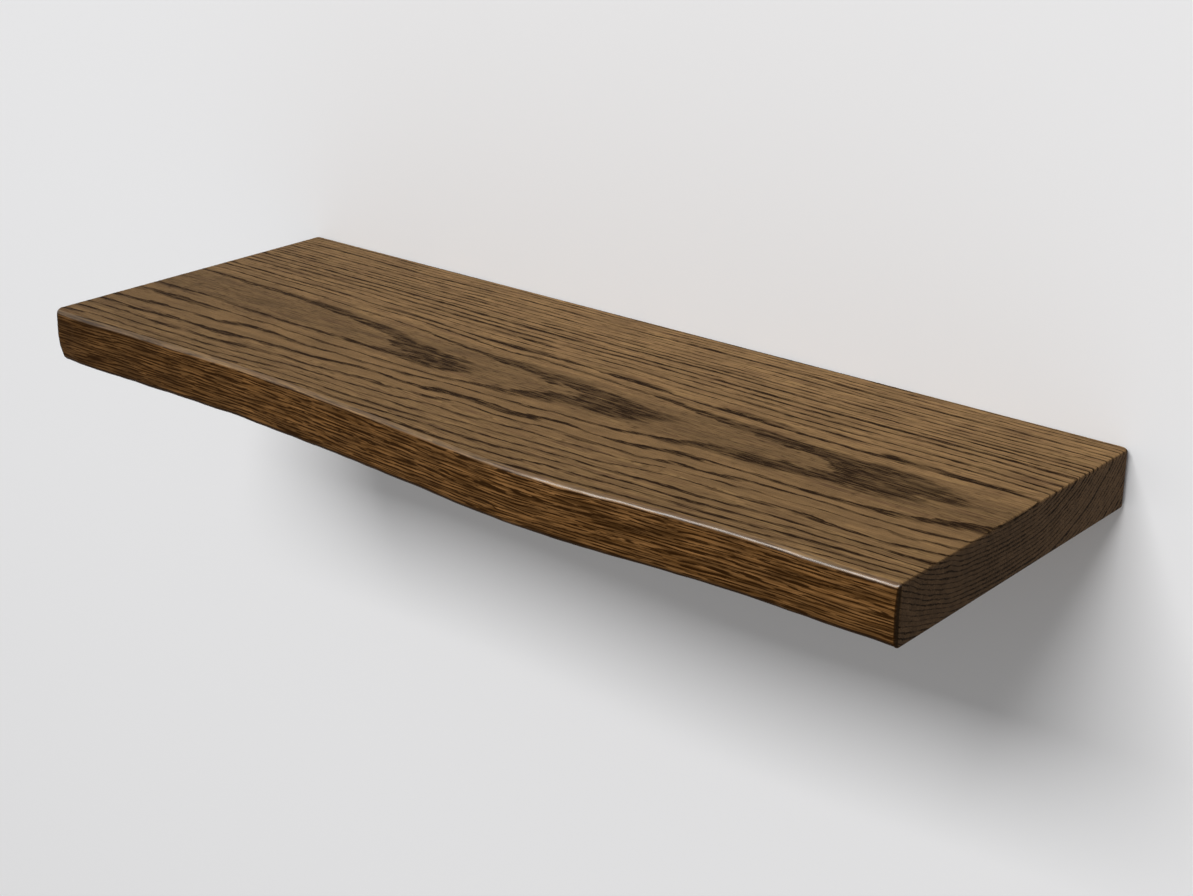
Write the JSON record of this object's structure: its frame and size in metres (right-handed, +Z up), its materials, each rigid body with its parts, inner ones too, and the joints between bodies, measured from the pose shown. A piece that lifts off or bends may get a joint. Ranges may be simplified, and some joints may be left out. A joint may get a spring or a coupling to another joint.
{
  "type": "live edge wall shelf",
  "caption": "Solid oak wall shelf with a waney front edge, slid onto concealed steel rod supports that are screwed and plugged to the wall.",
  "frame": {"origin": "in the wall plane, at the middle of the board's length and thickness, on the end of the middle support's rod tenon", "axes": "+X along the shelf to the right as seen from the room, +Y into the wall, +Z up"},
  "size_m": [0.8, 0.353, 0.042],
  "materials": {
    "stained_oak": "dark brown stain under satin lacquer",
    "zinc_plated_steel": "bright zinc plated",
    "yellow_zinc_screw": "yellow zinc plated",
    "grey_nylon": "moulded nylon"
  },
  "bodies": {
    "wall_supports": {"left_support_plate": "zinc_plated_steel", "middle_support_plate": "zinc_plated_steel", "right_support_plate": "zinc_plated_steel", "left_support_rod": "zinc_plated_steel", "middle_support_rod": "zinc_plated_steel", "right_support_rod": "zinc_plated_steel", "wall_screw_1": "yellow_zinc_screw", "wall_screw_2": "yellow_zinc_screw", "wall_screw_3": "yellow_zinc_screw", "wall_screw_4": "yellow_zinc_screw", "wall_screw_5": "yellow_zinc_screw", "wall_screw_6": "yellow_zinc_screw", "wall_plug_1": "grey_nylon", "wall_plug_2": "grey_nylon", "wall_plug_3": "grey_nylon", "wall_plug_4": "grey_nylon", "wall_plug_5": "grey_nylon", "wall_plug_6": "grey_nylon"},
    "board": {"live_edge_board": "stained_oak"}
  },
  "joints": [
    {"name": "board_slide", "type": "slide", "parent": "wall_supports", "child": "board", "axis": [0, -1, 0], "range_m": [0, 0.15]}
  ]
}
